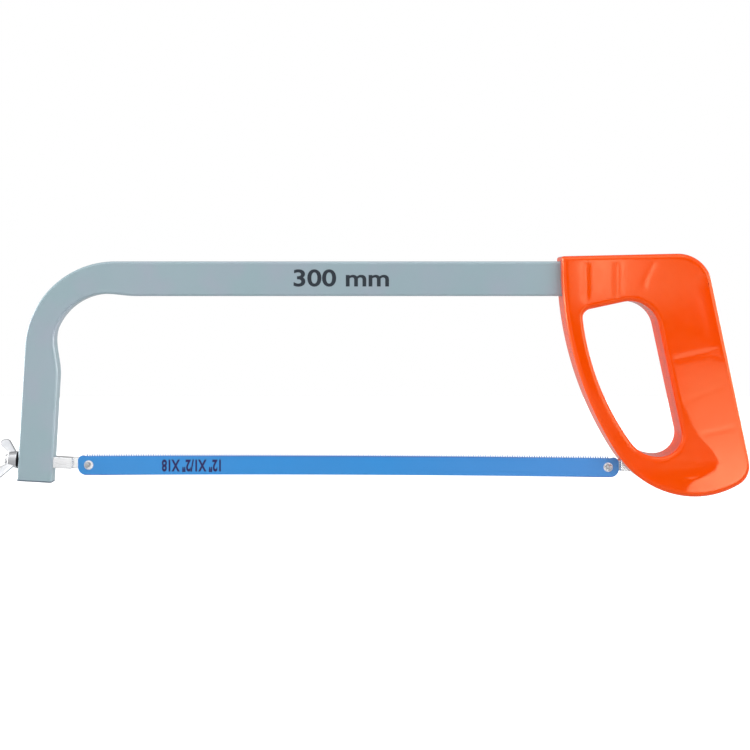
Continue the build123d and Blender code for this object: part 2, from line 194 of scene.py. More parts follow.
# frame tube
TUBE_TOP = 71.4
TUBE_HEIGHT = 20.0
TUBE_DEPTH = 10.0
TUBE_WALL = 1.2
TUBE_CORNER = 1.5
TUBE_END = -36.0
BEND_X = -340.3
BEND_OUTER = 52.0
CRUSH_RADIUS = 32.4
CRUSH_SHIFT = (-4.0, 1.0)
TOP_BLEND = 12.0
TOP_BLEND_ANGLE = 12.0
LEG_BLEND = 16.0
LEG_BLEND_ANGLE = 21.7
TOP_STATIONS = 40
TOP_BLEND_STATIONS = 18
BEND_STATIONS = 40
LEG_BLEND_STATIONS = 24
LEG_STATIONS = 16
LEG_LEAN = math.radians(3.3)
LEG_LENGTH = 76.5
LEG_DOWN = Vector((-math.sin(LEG_LEAN), 0, -math.cos(LEG_LEAN)))
LEG_OUT = Vector((-math.cos(LEG_LEAN), 0, math.sin(LEG_LEAN)))
BEND_CENTRE = Vector((BEND_X, 0, TUBE_TOP - BEND_OUTER))
BOLT_DOWN_LEG = 65.7
BOLT_ORIGIN = BEND_CENTRE + LEG_OUT * BEND_OUTER + LEG_DOWN * BOLT_DOWN_LEG
# local x along the bolt towards the blade, local y to the screw side, local z up the leg
BOLT_FRAME = Matrix((-LEG_OUT, ACROSS, -LEG_DOWN)).transposed()
BOLT_PLACE = Matrix.Translation(BOLT_ORIGIN * MM) @ BOLT_FRAME.to_4x4()

# tension bolt, pins, washer and rear holder
SHANK = 6.4
SHANK_CLEARANCE = 0.05
SHANK_CHAMFER = 0.4
THREAD_RADIUS = 3.0
THREAD_PITCH = 1.0
THREAD_DEPTH = 0.61
THREAD_END = -8.6
THREAD_AROUND = 40
THREAD_INTO_SHANK = 0.6
THREAD_CHAMFER = 0.7
THREAD_CHAMFER_LENGTH = 0.9
SHANK_START = 0.3
SHOULDER = 30.8
PIN_AT = 39.36
PIN_DROP = 0.7
PIN_RADIUS = 1.5
PIN_REACH = 2.3
PIN_EDGE = 0.7
TONGUE_PAST_PIN = 4.6
FRONT_PIN = BOLT_ORIGIN - LEG_OUT * PIN_AT + LEG_DOWN * PIN_DROP
REAR_PIN = Vector((-55.44, 0, -47.4))
REAR_AXIS_Z = -46.4
REAR_SHOULDER = -49.1
REAR_SHANK_END = -26.2
CROSS_PIN = Vector((-31.88, 0, REAR_AXIS_Z))
WASHER_RADIUS = 5.0
WASHER_HOLE = 3.25
WASHER_THICKNESS = 1.0
WASHER_EDGE = 0.4
RIVETS = [(-76.0, 61.4), (-65.0, 61.4)]
RIVET_RADIUS = 2.0
DRILL_PAST_FACE = 2.0
PIN_DRILL_HALF = 4.0

# wing nut
NUT_BASE = 1.1
# hub as (radius, height) pairs
NUT_HUB = [(5.0, 0.0), (4.2, 4.9), (3.7, 5.4)]
NUT_BORE = 3.07
BORE_CHAMFER = 0.5
NUT_TURNED = math.radians(42)
WING_THICKNESS = 2.2
# a wing hugs three circles: distance from the axis, height and radius
WING_CIRCLES = [(10.5, 9.6, 3.4), (3.7, 1.7, 0.9), (3.0, 4.2, 0.9)]
# its rounded rim: distance inside the rim, and the share of the wing's thickness there
WING_RIM = [(0.0, 0.35), (0.7, 1.0)]
CAST_VOXEL = 0.2
CAST_INSET = 0.05

# blade
BLADE_SPACING = 300.0
BLADE_END = 6.2
BLADE_BELOW = 5.8
BLADE_LAND = 5.6
BLADE_TIP = 6.3
BLADE_BOW = 0.75
BACK_ROUND = 4.8
LAND_ROUND = 3.2
CORNER_STEPS = 12
BLADE_GRID = 3.5
# where the enamel turns greyer towards the handle, from the front hole
GREYER_PART = (170, 290)
BLADE_FACE = 0.70
BLADE_BACK = 0.05
TOOTH_PITCH = 25.4 / 18
TOOTH_DEPTH = 1.15
TOOTH_COUNT = 214
# how far past the hole centres the teeth run
TOOTHED_PAST = 1.5
# one tooth: distance along the blade, and how deep as a share of the tooth's depth
TOOTH_SHAPE = [(-0.08, 1.0), (0.0, 0.0), (0.3, 0.08), (0.62, 1.0)]
TOOTH_SET = 0.12
SET_WAVE = 8
HOLE_RADIUS = 2.2
# middle (x, z) and size of the two printed marks
TUBE_MARK = (-210.1, 61.8)
TUBE_MARK_SIZE = (54.8, 10.0)
BLADE_MARK = (-296.8, -46.55)
BLADE_MARK_SIZE = (34.1, 7.3)
INK_LIFT = 0.005
INK_THICKNESS = 0.012
FRONT_HOLE = FRONT_PIN + Vector((0.65, 0, 0))
BLADE_TILT = math.asin((FRONT_HOLE.z - REAR_PIN.z) / BLADE_SPACING)
BLADE_UP = Vector((math.sin(BLADE_TILT), 0, math.cos(BLADE_TILT)))
REAR_HOLE = FRONT_HOLE + BLADE_SPACING * Vector((math.cos(BLADE_TILT), 0, -math.sin(BLADE_TILT)))
BLADE_PLACE = Matrix.Translation(FRONT_HOLE * MM) @ Matrix.Rotation(BLADE_TILT, 4, "Y")


# ---- materials

MATERIALS = {}


def new_material(name):
    """Node material, kept by its name: its tree and its Principled shader."""
    material = bpy.data.materials.new(name)
    material.use_nodes = True
    MATERIALS[name] = material
    return material.node_tree, material.node_tree.nodes["Principled BSDF"]


def object_space(tree):
    """Coordinates in the object's own space, in metres."""
    return tree.nodes.new("ShaderNodeTexCoord").outputs["Object"]


def noise(tree, scale, detail=2.0, stretch=(1, 1, 1)):
    """Noise in the object's own space, with scale in features per millimetre."""
    mapping = fed_node(tree, "Mapping", object_space(tree))
    mapping.inputs["Scale"].default_value = [scale * s / MM for s in stretch]
    texture = fed_node(tree, "TexNoise", mapping.outputs["Vector"])
    texture.inputs["Scale"].default_value = 1.0
    texture.inputs["Detail"].default_value = detail
    return texture.outputs["Fac"]


def mix_color(tree, factor, first, second):
    """Blend of two colours, each 8-bit display values or another node's output."""
    node = tree.nodes.new("ShaderNodeMix")
    node.data_type = "RGBA"
    tree.links.new(factor, node.inputs["Factor"])
    for socket, value in ((node.inputs[6], first), (node.inputs[7], second)):
        if isinstance(value, bpy.types.NodeSocket):
            tree.links.new(value, socket)
        else:
            socket.default_value = (*srgb(*value), 1)
    return node.outputs[2]


def bump(tree, shader, height, depth_mm):
    """Fine relief of a given depth in millimetres."""
    node = tree.nodes.new("ShaderNodeBump")
    node.inputs["Distance"].default_value = depth_mm * MM
    tree.links.new(height, node.inputs["Height"])
    tree.links.new(node.outputs["Normal"], shader.inputs["Normal"])


def srgb(red, green, blue):
    """Linear colour from 8-bit display values."""
    values = []
    for value in (red, green, blue):
        value /= 255
        values.append(value / 12.92 if value <= 0.04045 else ((value + 0.055) / 1.055) ** 2.4)
    return tuple(values)


def clouded(name, scale, detail, color, second):
    """New material with a colour that drifts between two: its tree, its shader and that colour."""
    tree, shader = new_material(name)
    drift = spread(tree, noise(tree, scale, detail), 0, 1)
    tone = mix_color(tree, drift, color, second)
    tree.links.new(tone, shader.inputs["Base Color"])
    return tree, shader, tone


def coated(shader, weight, roughness):
    """Clear coat over a material."""
    shader.inputs["Coat Weight"].default_value = weight
    shader.inputs["Coat Roughness"].default_value = roughness


def painted(name, color, second, roughness, coat, third=None):
    """Enamel with slight colour drift, orange peel and uneven gloss."""
    tree, shader, tone = clouded(name, 0.02, 3, color, second)
    if third:
        tone = mix_color(tree, spread(tree, noise(tree, 0.045, 2), 0, 1, 0.45, 0.75), tone, third)
        tree.links.new(tone, shader.inputs["Base Color"])
    gloss = spread(tree, noise(tree, 0.04, 1), roughness * 0.94, roughness * 1.06, 0.2, 0.8)
    tree.links.new(gloss, shader.inputs["Roughness"])
    coated(shader, coat, 0.12)
    bump(tree, shader, noise(tree, 0.3, 1), 0.001)


def height_along(tree, origin, axis):
    """Distance along an axis from a point, in millimetres, in the object's own space."""
    apart = vector_math(tree, "SUBTRACT", object_space(tree), origin * MM)
    return vector_math(tree, "DOT_PRODUCT", apart.outputs["Vector"], axis / MM).outputs["Value"]


def hole_distance(tree, centre):
    """Distance from a hole's axis, in millimetres."""
    to_centre = (-centre.x, 0, -centre.z)
    flat = vector_math(tree, "MULTIPLY_ADD", object_space(tree), (1 / MM, 0, 1 / MM), to_centre)
    return vector_math(tree, "LENGTH", flat.outputs["Vector"]).outputs["Value"]


def blade_enamel():
    """Satin blue enamel: painted shade on the teeth, a darker back edge, bright rims round the holes, greyer
    at the handle.
    """
    tree, shader, tone = clouded("blade_paint", 0.015, 3, (46, 133, 203), (40, 136, 208))
    far = spread(tree, height_along(tree, FRONT_HOLE, Vector((1, 0, 0))), 0, 1, *GREYER_PART)
    tone = mix_color(tree, far, tone, (63, 134, 205))
    height = height_along(tree, FRONT_HOLE, BLADE_UP)
    back = spread(tree, height, 1, 0, 0.1 - BLADE_BELOW, 0.7 - BLADE_BELOW)
    tone = mix_color(tree, back, tone, (48, 92, 178))
    # painted shade: the tooth band is coloured darker to stand in for the shading of the set teeth
    teeth_shade = spread(tree, height, 0, 1, BLADE_LAND - 0.7, BLADE_LAND - 0.2)
    tone = mix_color(tree, teeth_shade, tone, (62, 112, 180))
    for hole in (FRONT_HOLE, REAR_HOLE):
        rim = spread(tree, hole_distance(tree, hole), 1, 0, HOLE_RADIUS + 0.35, HOLE_RADIUS + 0.6)
        tone = mix_color(tree, rim, tone, (214, 214, 220))
    tree.links.new(tone, shader.inputs["Base Color"])
    tree.links.new(spread(tree, noise(tree, 0.6, 4), 0.32, 0.48), shader.inputs["Roughness"])
    coated(shader, 0.2, 0.15)
    bump(tree, shader, noise(tree, 1.2, 3, (0.15, 1, 1)), 0.003)


def metal(name, color, second, roughness, grain=(1, 1, 1)):
    """Plated or plain metal with cloudy plating and a fine grain."""
    tree, shader, _ = clouded(name, 0.15, 4, color, second)
    shader.inputs["Metallic"].default_value = 1.0
    gloss = spread(tree, noise(tree, 1.0, 3, grain), roughness * 0.85, roughness * 1.15)
    tree.links.new(gloss, shader.inputs["Roughness"])
    bump(tree, shader, noise(tree, 2.0, 3, grain), 0.002)


def moulded(name, color, second, roughness, coat, sheen=(1, 1, 1)):
    """Glossy moulded plastic with faint flow clouds in its colour and gloss."""
    tree, shader, _ = clouded(name, 0.03, 3, color, second)
    gloss = spread(tree, noise(tree, 0.2, 4), roughness * 0.8, roughness * 1.25)
    tree.links.new(gloss, shader.inputs["Roughness"])
    shader.inputs["Specular Tint"].default_value = (*sheen, 1)
    coated(shader, coat, 0.04)
    bump(tree, shader, noise(tree, 0.35, 2), 0.0015)


painted("tube_paint", (149, 167, 176), (144, 167, 174), 0.3, 0.4, (152, 164, 176))
blade_enamel()
painted("tube_ink", (18, 30, 42), (24, 36, 48), 0.6, 0.0)
painted("blade_ink", (20, 18, 78), (28, 24, 86), 0.6, 0.0)
moulded("handle_plastic", (239, 69, 0), (235, 72, 0), 0.1, 0.08, (1, 0.92, 0.5))
moulded("dark_plastic", (92, 104, 118), (82, 94, 108), 0.5, 0.0)
metal("zinc_steel", (240, 240, 241), (234, 235, 237), 0.25, (0.2, 1, 1))
metal("zinc_cast", (204, 205, 207), (182, 184, 188), 0.34)
# near-black washer metal: a real washer, but its near-black colour is painted shade for the gap between the
# wing nut and the leg
metal("black_oxide", (40, 40, 42), (28, 28, 31), 0.45)
metal("plain_steel", (190, 190, 192), (170, 171, 175), 0.35)
metal("core_metal", (110, 110, 112), (92, 92, 96), 0.55)
metal("screw_steel", (190, 192, 198), (170, 172, 180), 0.3)


def paint_nodes():
    """Give each CAD node the material of its slot."""
    for part in frame["record"]["subparts"]:
        mesh = NODES[part["node"]].data
        mesh.materials.clear()
        mesh.materials.append(MATERIALS[part["material_slot"]])


# ---- mesh helpers

SAME_POINT = 1e-7
SHARP_ANGLE = 32.0


def solid_mesh(name, points, faces):
    """Mesh from points in millimetres, without doubled points and with its normals outwards."""
    mesh = bpy.data.meshes.new(name)
    mesh.from_pydata([tuple(float(c) * MM for c in point) for point in points], [], faces)
    work = bmesh.new()
    work.from_mesh(mesh)
    bmesh.ops.remove_doubles(work, verts=work.verts, dist=SAME_POINT)
    bmesh.ops.dissolve_degenerate(work, edges=work.edges, dist=SAME_POINT)
    bmesh.ops.recalc_face_normals(work, faces=work.faces)
    work.to_mesh(mesh)
    work.free()
    return mesh


def smooth(mesh, sharp):
    """Smooth shading, except over edges sharper than an angle in degrees."""
    mesh.shade_smooth()
    mesh.set_sharp_from_angle(angle=math.radians(sharp))


def piece(name, points, faces, slot, body, node=None, sharp=SHARP_ANGLE):
    """Mesh object from points in millimetres that rides on a body and may replace a CAD node."""
    mesh = solid_mesh(name, points, faces)
    mesh.materials.append(MATERIALS[slot])
    smooth(mesh, sharp)
    made = linked(name, mesh)
    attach(made, body)
    if node:
        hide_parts(node)
    return made


def box_mesh(name, boxes, placing=Matrix.Identity(4)):
    """Closed boxes as one cutter, from (lowest, highest) corners in millimetres."""
    work = bmesh.new()
    for low, high in boxes:
        size = [(b - a) * MM for a, b in zip(low, high)]
        middle = [(b + a) / 2 * MM for a, b in zip(low, high)]
        matrix = Matrix.Translation(middle) @ Matrix.Diagonal((*size, 1))
        bmesh.ops.create_cube(work, size=1, matrix=matrix)
    mesh = bpy.data.meshes.new(name)
    work.to_mesh(mesh)
    work.free()
    mesh.transform(placing)
    return linked(name, mesh)


def bake(target, sharp=SHARP_ANGLE):
    """Apply a piece's modifiers and keep its material."""
    depsgraph = bpy.context.evaluated_depsgraph_get()
    mesh = bpy.data.meshes.new_from_object(target.evaluated_get(depsgraph))
    material = target.data.materials[0]
    target.modifiers.clear()
    target.data = mesh
    mesh.materials.clear()
    mesh.materials.append(material)
    smooth(mesh, sharp)


def flatten(target):
    """Let large faces rule the shading at their edges, so that flat faces look flat."""
    weighted = target.modifiers.new("weighted", "WEIGHTED_NORMAL")
    weighted.keep_sharp = True


def cut(target, cutter, sharp=SHARP_ANGLE):
    """Subtract another object for good and remove it."""
    modifier = target.modifiers.new("cut", "BOOLEAN")
    modifier.operation = "DIFFERENCE"
    modifier.solver = "EXACT"
    modifier.object = cutter
    bake(target, sharp)
    bpy.data.objects.remove(cutter)


def quarter_turn(steps):
    """Angles from 0 to 90 degrees."""
    return [math.pi / 2 * k / steps for k in range(steps + 1)]


def ring_faces(first, second, count):
    """Quads between two closed rings that start at the given vertex numbers."""
    faces = []
    for i in range(count):
        j = (i + 1) % count
        faces.append((first + i, first + j, second + j, second + i))
    return faces


def turned(profile, centre, axis, count=48):
    """Points and faces of a solid of revolution; profile is (radius, distance along the axis), closed."""
    axis = Vector(axis)
    side = axis.orthogonal().normalized()
    other = axis.cross(side)
    points = []
    for radius, along in profile:
        for i in range(count):
            angle = 2 * math.pi * i / count
            out = side * math.cos(angle) + other * math.sin(angle)
            points.append(Vector(centre) + axis * along + out * radius)
    faces = []
    for i in range(len(profile)):
        following = (i + 1) % len(profile)
        faces += ring_faces(i * count, following * count, count)
    return points, faces


def rounded_end(radius, start, end, edge, steps=6):
    """Turned profile of a pin with a flat foot and a rounded end."""
    profile = [(0.0, start), (radius, start)]
    for angle in quarter_turn(steps):
        profile.append((radius - edge + edge * math.cos(angle), end - edge + edge * math.sin(angle)))
    return [*profile, (0.0, end)]


def turned_cutter(name, profile, centre, axis):
    """Solid of revolution as a cutter."""
    return linked(name, solid_mesh(name, *turned(profile, centre, axis)))


def drill(target, centre, radius, half_length):
    """Round hole across the saw."""
    profile = [(0, -half_length), (radius, -half_length), (radius, half_length), (0, half_length)]
    cut(target, turned_cutter("drill", profile, centre, ACROSS))


# ---- outlines of lines, arcs and fillets


class Straight:
    """Straight side with the enclosed area on its right."""

    def __init__(self, start, end):
        self.start = np.array(start, float)
        self.end = np.array(end, float)
        along = (self.end - self.start) / np.linalg.norm(self.end - self.start)
        self.inward = np.array((along[1], -along[0]))

    def depth(self, point):
        return (point - self.start) @ self.inward

    def inward_at(self, point):
        return self.inward

    def samples(self, start, end, step):
        count = max(2, int(np.linalg.norm(end - start) / step))
        return [start + (end - start) * i / count for i in range(1, count)]


class Round:
    """Arc whose centre lies on the enclosed side, from start to end clockwise."""

    def __init__(self, start, end, centre):
        self.start = np.array(start, float)
        self.end = np.array(end, float)
        self.centre = np.array(centre, float)
        self.radius = np.linalg.norm(self.start - self.centre)

    def depth(self, point):
        return self.radius - np.linalg.norm(point - self.centre)

    def inward_at(self, point):
        return (self.centre - point) / np.linalg.norm(self.centre - point)

    def samples(self, start, end, step):
        first = math.atan2(*(start - self.centre)[::-1])
        last = math.atan2(*(end - self.centre)[::-1])
        sweep = (first - last) % (2 * math.pi)
        count = max(3, int(self.radius * sweep / step), int(sweep / ARC_STEP))
        angles = [first - sweep * i / count for i in range(1, count)]
        return [self.centre + self.radius * np.array((math.cos(a), math.sin(a))) for a in angles]


ARC_STEP = math.radians(5)
SIDE_STEP = 0.8


def tangent_arc(start, end, normal):
    """Arc from start, whose centre lies along normal, to end."""
    chord = np.array(end, float) - np.array(start, float)
    radius = chord @ chord / (2 * chord @ normal)
    return Round(start, end, np.array(start, float) + radius * normal)


def fillet_centre(first, second, radius, corner):
    """Centre of the circle that touches two sides, by Newton steps, and the inward normals there."""
    centre = np.array(corner, float)
    centre = centre + radius * (first.inward_at(centre) + second.inward_at(centre))
    for _ in range(30):
        slopes = np.array((first.inward_at(centre), second.inward_at(centre)))
        miss = np.array((first.depth(centre), second.depth(centre))) - radius
        centre = centre - np.linalg.solve(slopes, miss)
    return centre, first.inward_at(centre), second.inward_at(centre)


class Outline:
    """Closed clockwise outline: sides joined by fillets, sampled as points with outward normals."""

    def __init__(self, sides, radii):
        self.points = []
        self.normals = []
        self.corners = []
        fillets = []
        for i, radius in enumerate(radii):
            side, after = sides[i], sides[(i + 1) % len(sides)]
            if radius:
                fillets.append(fillet_centre(side, after, radius, side.end))
            else:
                fillets.append((side.end, None, None))
        for i, side in enumerate(sides):
            centre, _, leaving = fillets[i - 1]
            start = centre if leaving is None else centre - radii[i - 1] * leaving
            centre, arriving, leaving = fillets[i]
            end = centre if arriving is None else centre - radii[i] * arriving
            if fillets[i - 1][1] is None:
                self.add(start, side)
            # an inset closes a tight corner to a mitre, so no sample stands within its reach
            clear = [max(0.0, HANDLE_EDGE - r) if r else 0.0 for r in (radii[i - 1], radii[i])]
            for point in side.samples(start, end, SIDE_STEP):
                reach = (np.linalg.norm(point - start), np.linalg.norm(point - end))
                if reach[0] > clear[0] and reach[1] > clear[1]:
                    self.add(point, side)
            if arriving is not None:
                bend = Round(end, centre - radii[i] * leaving, centre)
                mitre = (arriving + leaving) / (1 + arriving @ leaving)
                for point in [bend.start, *bend.samples(bend.start, bend.end, SIDE_STEP), bend.end]:
                    self.add(point, bend, mitre)

    def add(self, point, side, mitre=None):
        self.points.append(point)
        self.normals.append(-side.inward_at(point))
        self.corners.append(None if mitre is None else (side.centre, side.radius, mitre))

    def inset(self, distance):
        """Points moved inwards, or outwards for a negative distance; tight corners close to a mitre."""
        moved = []
        for point, normal, corner in zip(self.points, self.normals, self.corners):
            if corner and corner[1] < distance:
                moved.append(corner[0] + (distance - corner[1]) * corner[2])
            else:
                moved.append(point - distance * normal)
        return np.array(moved)


def inside(points, loop):
    """Which points lie inside a closed loop, by the even-odd rule."""
    result = np.zeros(len(points), bool)
    x, z = points[:, 0], points[:, 1]
    for (ax, az), (bx, bz) in zip(loop, np.roll(loop, -1, axis=0)):
        if az == bz:
            continue
        crosses = ((az > z) != (bz > z)) & (x < (bx - ax) * (z - az) / (bz - az) + ax)
        result ^= crosses
    return result


def fill_between(outer, holes, spacing):
    """Triangles between an outer loop and its holes, over a hexagonal grid of inner points."""
    loops = [outer, *holes]
    edge = np.concatenate(loops)
    low, high = outer.min(axis=0), outer.max(axis=0)
    grid = []
    for row, z in enumerate(np.arange(low[1], high[1], spacing * 0.866)):
        grid += [(x, z) for x in np.arange(low[0] + (row % 2) * spacing / 2, high[0], spacing)]
    grid = np.array(grid)
    keep = inside(grid, outer)
    for hole in holes:
        keep &= ~inside(grid, hole)
    grid = grid[keep]
    clear = np.array([np.min(np.hypot(*(edge - point).T)) > 0.75 * spacing for point in grid])
    points = np.concatenate((edge, grid[clear]))
    edges = []
    start = 0
    for loop in loops:
        edges += [(start + i, start + (i + 1) % len(loop)) for i in range(len(loop))]
        start += len(loop)
    coordinates = [Vector(point) for point in points]
    found, _, triangles, origins, _, _ = delaunay_2d_cdt(coordinates, edges, [], 0, 1e-6)
    found = np.array([(v.x, v.y) for v in found])
    middles = np.array([found[list(t)].mean(axis=0) for t in triangles])
    keep = inside(middles, outer)
    for hole in holes:
        keep &= ~inside(middles, hole)
    number = [origin[0] for origin in origins]
    faces = [tuple(number[v] for v in t) for t, kept in zip(triangles, keep) if kept]
    return points, faces


# ---- handle shells

HANDLE_HALF = 11.5
HANDLE_EDGE = 2.6
HANDLE_WALL = 2.4
FACE_WALL = 2.8
HANDLE_LEFT = -84.25
GUARD_TOP = (HANDLE_LEFT, 69.3)
TOP_LEFT = (HANDLE_LEFT, 74.2)
TOP_RIGHT = (-1.9, 76.05)
HEEL = (24.64, -50.6)
BELLY = (-17.6, -62.2)
GUARD_LOW = (-52.5, -38.6)
OPENING_TOP_LEFT = (-72.4, 43.05)
OPENING_TOP_RIGHT = (-32.5, 51.64)
OPENING_LOW_RIGHT = (-12.78, -40.35)
OPENING_LOW_LEFT = (-38.4, -40.35)
OPENING_LEFT_CENTRE = (78.7, 56.06)
# fillet after each side of the two outlines; 0 where the arcs already run on smoothly
OUTER_FILLETS = (1.5, 19.6, 13.0, 0, 0, 0)
OPENING_FILLETS = (16.8, 12.4, 19.5, 5.0)
SEAM_ROUND = 0.15
SEAM_STEPS = 3
FACE_GRID = 0.9
EDGE_STEPS = 10
CEILING = HANDLE_HALF - FACE_WALL
CEILING_GRID = 6.0
SCREWS = [(-24.0, 61.0), (-7.0, 22.0), (1.0, -16.0), (9.0, -47.0), (-19.0, -51.5)]
BOSS_GAP = 0.05
# bores as (radius, distance from the middle plane), inwards: a boss round a blind screw hole, and a boss
# round a clearance hole under a counterbore, where None stands for the sunk face
BLIND_BOSS = [(4.2, CEILING), (4.2, BOSS_GAP), (1.75, BOSS_GAP), (1.75, 9.1)]
COUNTERBORE = [(3.6, None), (3.6, 6.0), (2.0, 6.0)]
OPEN_BOSS = [(4.9, CEILING), (4.9, BOSS_GAP), (2.0, BOSS_GAP)]
TUBE_ENTRY = [(-90.0, -5.1, 51.3), (-77.25, 5.1, 71.5)]
HOLDER_ENTRY = [(-62.0, -3.25, -49.65), (-25.2, 3.25, -43.15)]


def handle_outline():
    """Outside of the handle: top, back, heel, belly and guard."""
    guard = tangent_arc(GUARD_TOP, GUARD_LOW, np.array((1.0, 0.0)))
    lower = tangent_arc(GUARD_LOW, BELLY, guard.inward_at(guard.end))
    heel = tangent_arc(BELLY, HEEL, lower.inward_at(lower.end))
    sides = [
        Straight(GUARD_TOP, TOP_LEFT),
        Straight(TOP_LEFT, TOP_RIGHT),
        Straight(TOP_RIGHT, HEEL),
        Round(HEEL, BELLY, heel.centre),
        Round(BELLY, GUARD_LOW, lower.centre),
        Round(GUARD_LOW, GUARD_TOP, guard.centre),
    ]
    return Outline(sides, OUTER_FILLETS)


def opening_outline():
    """Finger opening, drawn as the space that the fingers use."""
    sides = [
        Straight(OPENING_TOP_LEFT, OPENING_TOP_RIGHT),
        Straight(OPENING_TOP_RIGHT, OPENING_LOW_RIGHT),
        Straight(OPENING_LOW_RIGHT, OPENING_LOW_LEFT),
        Round(OPENING_LOW_LEFT, OPENING_TOP_LEFT, OPENING_LEFT_CENTRE),
    ]
    return Outline(sides, OPENING_FILLETS)


def valley(distance, depth, width):
    """Sink mark: a smooth groove at distance 0."""
    return depth * np.exp(-((distance / width) ** 2))


def step_between(value, start, stop):
    """0 before start, 1 after stop, smooth between."""
    t = np.clip((value - start) / (stop - start), 0, 1)
    return t * t * (3 - 2 * t)


# lean of the back and of the opening's right side, as x per z, and the cosine of each lean
BACK_LEAN = 0.2096
BACK_COSINE = 0.979
OPENING_LEAN = 0.2144
OPENING_COSINE = 0.978
# sink marks over the upright ribs of the top: x, depth and width
TOP_RIBS = [(-70.5, 0.06, 2.0), (-53.0, 0.07, 2.0)]
# one more, which bends towards the back as it rises: x, bend, depth and width
BENT_RIB = (-37.6, 5.1, 0.07, 1.8)
# sink marks across the grip: a point (x, z), rise along x, depth, width, and the x where it begins
GRIP_RIBS = [
    (-19.1, 15.4, 0.224, 0.06, 1.7, -30.0),
    (-8.9, -6.2, 0.41, 0.02, 1.6, -30.0),
    (-3.3, -27.0, 0.216, 0.03, 1.6, -8.0),
]
BACK_SINK = 0.28
BACK_NEAR = 2.0
BACK_FAR = 11.0
# the flame's edge, as x at a list of heights
FLAME_HEIGHTS = (-60.0, -55.5, -53.2, -51.0, -47.3, -42.5, -35.9, -29.3, -22.6, -11.3, -4.0, 8.0)
FLAME_EDGE = (-14.5, -12.0, -9.5, -3.7, 2.9, 4.8, 1.0, -5.7, -10.4, -15.1, -19.0, -30.0)
FLAME_SLOPE = 0.05
FLAME_REACH = 20.0


def from_back(x, z):
    """Distance inside the handle's straight back."""
    return (TOP_RIGHT[0] - x + (TOP_RIGHT[1] - z) * BACK_LEAN) * BACK_COSINE


def from_opening(x, z):
    """Distance behind the opening's straight right side."""
    return (x - OPENING_TOP_RIGHT[0] - (OPENING_TOP_RIGHT[1] - z) * OPENING_LEAN) * OPENING_COSINE


def face_sink(x, z):
    """How far the moulded face has sunk, in millimetres, over its ribs and thick places."""
    sink = 0.0
    for rib, depth, width in TOP_RIBS:
        sink += valley(x - rib, depth, width) * step_between(z, 46, 53) * (1 - step_between(z, 68.5, 71.5))
    rib, bend, depth, width = BENT_RIB
    bent = rib + bend * step_between(z, 57, 72)
    sink += valley(x - bent, depth, width) * step_between(z, 53, 59) * (1 - step_between(z, 69, 72))
    back = from_back(x, z)
    grip = step_between(from_opening(x, z), 3.0, 6.0) * step_between(back, 3.0, 7.0)
    for rib_x, rib_z, rise, depth, width, start in GRIP_RIBS:
        across = z - rib_z - (x - rib_x) * rise
        sink += valley(across, depth, width) * step_between(x, start, start + 6) * grip
    # the thick back draws the face in along its upper half
    along = step_between(z, 14, 22) * (1 - step_between(z, 56, 64))
    near = np.clip((BACK_FAR - back) / (BACK_FAR - BACK_NEAR), 0, 1)
    sink += BACK_SINK * near**1.5 * along
    # beside the opening and in the guard's foot the face lies deeper, up to an edge like a flame's
    reach = np.interp(z, FLAME_HEIGHTS, FLAME_EDGE) - x
    reach = 0.5 * (reach + np.sqrt(reach * reach + 1.0))
    reach = FLAME_REACH * (1 - np.exp(-reach / FLAME_REACH))
    sink += FLAME_SLOPE * reach * (1 - step_between(z, -30, 12))
    return sink


def circle(centre, radius, count=40):
    """Points round a circle."""
    angles = [2 * math.pi * i / count for i in range(count)]
    return np.array([(centre[0] + radius * math.cos(a), centre[1] + radius * math.sin(a)) for a in angles])


